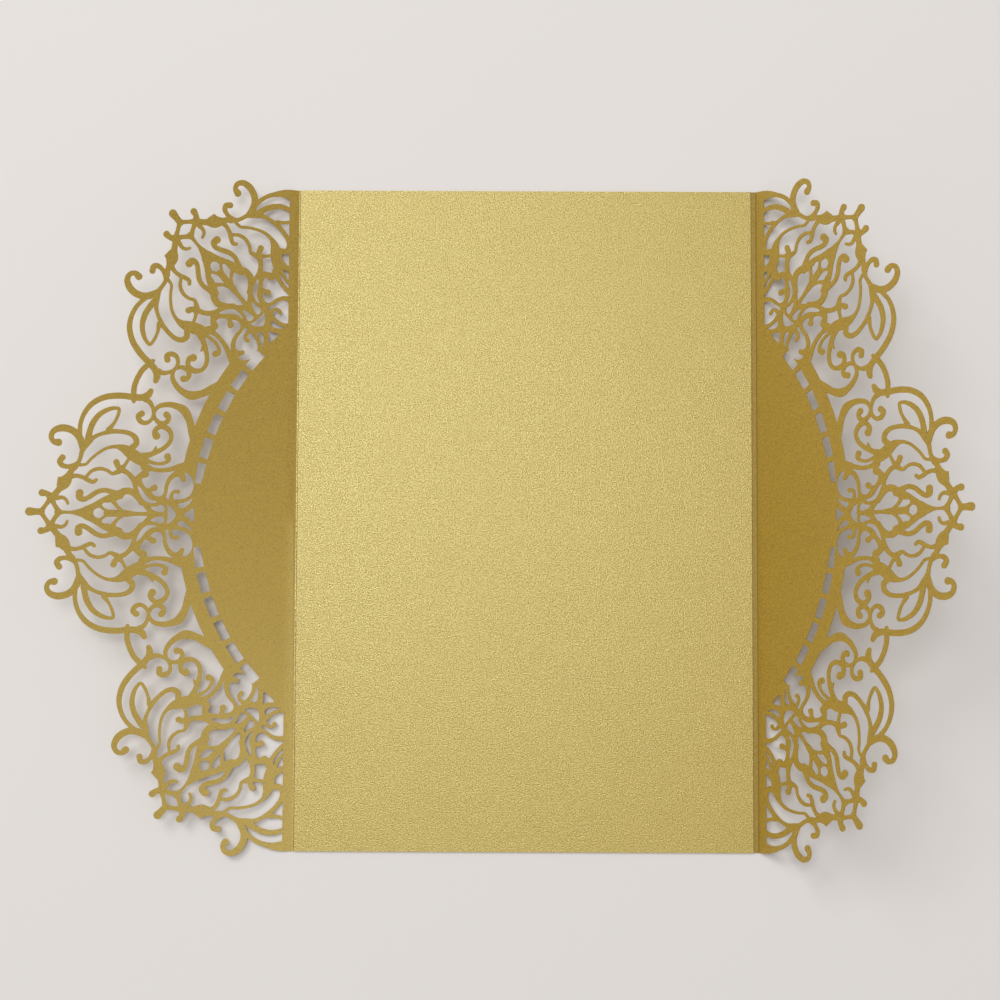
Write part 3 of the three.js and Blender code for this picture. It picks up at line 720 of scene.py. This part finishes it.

# %% [markdown]
# ## Shimmer card
#
# Shimmer card is paper with a coat of fine mica flakes. Each flake is a tiny tilted mirror, so
# up close the surface is a grain of lighter and darker specks, and from afar it has a soft
# metallic sheen. Real flakes are far too small and too many to model. A noise at the size of
# the visible specks changes the colour, a second, larger one makes the faint clouds of an
# uneven coat, and a bump from the first makes the specks catch the light.
#
# Three narrow bands of painted shade run along the folds. At the mounted card's left edge a
# fine dark line is painted shadow where the card's edge meets the panel, with a sliver of
# bright panel between it and the fold. On the right the narrow spine beside the card is
# painted darker as shade and made rougher, so it loses its sheen, and its score line is
# painted darker still, as shade in the crease. A band is painted colour, placed by its
# distance from the middle of the sheet.

# %% The finish of shimmer card
CLOUD_SIZE, CLOUD_CONTRAST = 14.0, 0.12
GRAIN_ON_ROUGHNESS, BUMP_HEIGHT, CARD_IOR = 0.6, 0.0001, 1.6
PAINTED_SHADE_STRENGTH, FIELD_ROUGHNESS = 0.9, 0.4
PEARL = (1.0, 1.0, 0.55, 1.0)
# Painted shadow: a fine dark line on the panel along the mounted card's left edge.
PAINTED_JOINT_SHADOW = (-CARD_WIDTH / 2 - 0.08, 0.26, (92, 70, 24))
# Painted shade: the spine strip beside the card, painted darker and made rougher.
PAINTED_SPINE_SHADE = (RIGHT_FOLD - 0.8, 1.7, (132, 102, 28))
# Painted shade: the score line of the right fold, painted darker still, as shade in the
# crease.
PAINTED_SCORE_SHADE = (RIGHT_FOLD - 0.05, 0.32, (118, 90, 26))


def shimmer_card(name, dark, light, speck, contrast, gloss, roughness, bump, painted_shade_bands=()):
    """Speck is the size of the grain in millimetres, and gloss how much the flakes mirror.
    A band of painted shade is given by its middle, width and colour along the fold."""
    material = bpy.data.materials.new(name)
    material.use_nodes = True
    tree = material.node_tree
    shader = tree.nodes["Principled BSDF"]
    start = Wire(tree)
    place = start.node("ShaderNodeTexCoord", out="Object")

    def noise(size, detail):
        values = {"Vector": place, "Scale": METRE / size, "Detail": detail}
        return start.node("ShaderNodeTexNoise", values=values, out=0)

    grain = noise(speck, 2.0)
    clouds = noise(CLOUD_SIZE, 3.0)
    lightness = (grain - 0.5) * contrast + (clouds - 0.5) * CLOUD_CONTRAST + 0.5
    lightness = lightness.node("ShaderNodeClamp", values={0: lightness})
    hue = lightness.blended(colour(*dark), colour(*light))
    rough = roughness - (grain - 0.5) * GRAIN_ON_ROUGHNESS
    if painted_shade_bands:
        across = place.node("ShaderNodeSeparateXYZ", values={0: place}) * METRE
    # Each band blends the colour towards a painted shade colour and adds roughness.
    for middle, width, shade_colour in painted_shade_bands:
        off = across.math("ABSOLUTE", across - middle, 0.0)
        band = off.math("LESS_THAN", off, width / 2) * PAINTED_SHADE_STRENGTH
        hue = band.blended(hue, colour(*shade_colour))
        rough = rough + band * FIELD_ROUGHNESS
    start.feed(shader.inputs["Base Color"], hue)
    start.feed(shader.inputs["Roughness"], rough)
    shader.inputs["IOR"].default_value = CARD_IOR
    shader.inputs["Specular IOR Level"].default_value = gloss
    shader.inputs["Specular Tint"].default_value = PEARL
    values = {"Strength": bump, "Distance": BUMP_HEIGHT, "Height": grain}
    start.feed(shader.inputs["Normal"], start.node("ShaderNodeBump", values=values))
    return material


jacket_card = shimmer_card(
    "jacket_card", dark=(124, 91, 6), light=(173, 140, 44), speck=0.42, contrast=2.0,
    gloss=1.0, roughness=0.36, bump=0.3, painted_shade_bands=(PAINTED_JOINT_SHADOW, PAINTED_SPINE_SHADE, PAINTED_SCORE_SHADE),
)
mounted_finish = shimmer_card(
    "mounted_card", dark=(120, 92, 12), light=(186, 158, 76), speck=0.34, contrast=3.0,
    gloss=1.0, roughness=0.35, bump=0.8,
)
jacket_mesh.materials.append(jacket_card)
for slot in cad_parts["mounted_card"].material_slots:
    slot.material = mounted_finish
print("finishes:", jacket_card.name, mounted_finish.name)

# %% [markdown]
# ## The table, the light and the camera
#
# The invitation lies on a plain pale table. A soft lamp high above it mirrors in the flat
# card, and brightens its left half. A larger one beyond the top left corner gives the soft
# shadows to the lower right of the raised flaps, and the pale surroundings fill them. What
# the camera and the shiny card see of those surroundings is paler than the light that they
# give.

# %% Table
TABLE_REACH = 3.0
near, far = -TABLE_REACH, TABLE_REACH
table_mesh = bpy.data.meshes.new("table")
table_mesh.from_pydata(
    [(near, near, 0), (far, near, 0), (far, far, 0), (near, far, 0)],
    [],
    [(0, 1, 2, 3)],
)
table = bpy.data.objects.new("table", table_mesh)
bpy.context.scene.collection.objects.link(table)
table_finish = bpy.data.materials.new("table")
table_finish.use_nodes = True
table_shader = table_finish.node_tree.nodes["Principled BSDF"]
table_shader.inputs["Base Color"].default_value = colour(218, 214, 211)
table_shader.inputs["Roughness"].default_value = 0.9
table_mesh.materials.append(table_finish)
print("table", TABLE_REACH * 2, "m square")

# %% Light
SKY_LIGHT, SEEN_SKY = 0.47, 0.93
world = bpy.data.worlds.new("surroundings")
bpy.context.scene.world = world
world.use_nodes = True
sky = Wire(world.node_tree)
background = world.node_tree.nodes["Background"].inputs
background["Color"].default_value = colour(238, 236, 234)
rays = sky.node("ShaderNodeLightPath").socket.node.outputs
seen = Wire(world.node_tree, rays["Is Camera Ray"])
for kind in ("Is Glossy Ray", "Is Transmission Ray"):
    seen = seen.math("MAXIMUM", seen, Wire(world.node_tree, rays[kind]))
sky.feed(background["Strength"], seen * (SEEN_SKY - SKY_LIGHT) + SKY_LIGHT)


def lamp(name, place, size, power):
    """A square lamp that shines on the middle of the card."""
    data = bpy.data.lights.new(name, "AREA")
    data.shape = "SQUARE"
    data.size, data.energy = size, power
    made = bpy.data.objects.new(name, data)
    made.location = place
    away = np.array(place)
    made.rotation_euler = (
        math.acos(away[2] / np.linalg.norm(away)),
        0,
        math.atan2(away[1], away[0]) + math.pi / 2,
    )
    bpy.context.scene.collection.objects.link(made)
    return made


lamp("overhead", (-0.17, 0.24, 2.0), size=0.62, power=13.8)
lamp("window", (-1.05, 1.18, 1.76), size=1.1, power=26.0)

# %% [markdown]
# The camera hangs almost straight above the middle of the card, as the picture's
# perspective shows: the raised flaps look slightly larger than flat ones would.

# %% Camera
camera = bpy.data.objects.new("camera", bpy.data.cameras.new("camera"))
camera.location = (-0.00601, -0.03589, 0.58219)
camera.rotation_euler = (0.07027, 0.00124, 0.00394)
camera.data.sensor_width = 36
camera.data.lens = 75.06
bpy.context.scene.collection.objects.link(camera)
bpy.context.scene.camera = camera
bpy.context.scene.view_settings.view_transform = "Standard"
print("camera", [round(v, 3) for v in camera.location], camera.data.lens, "mm lens")
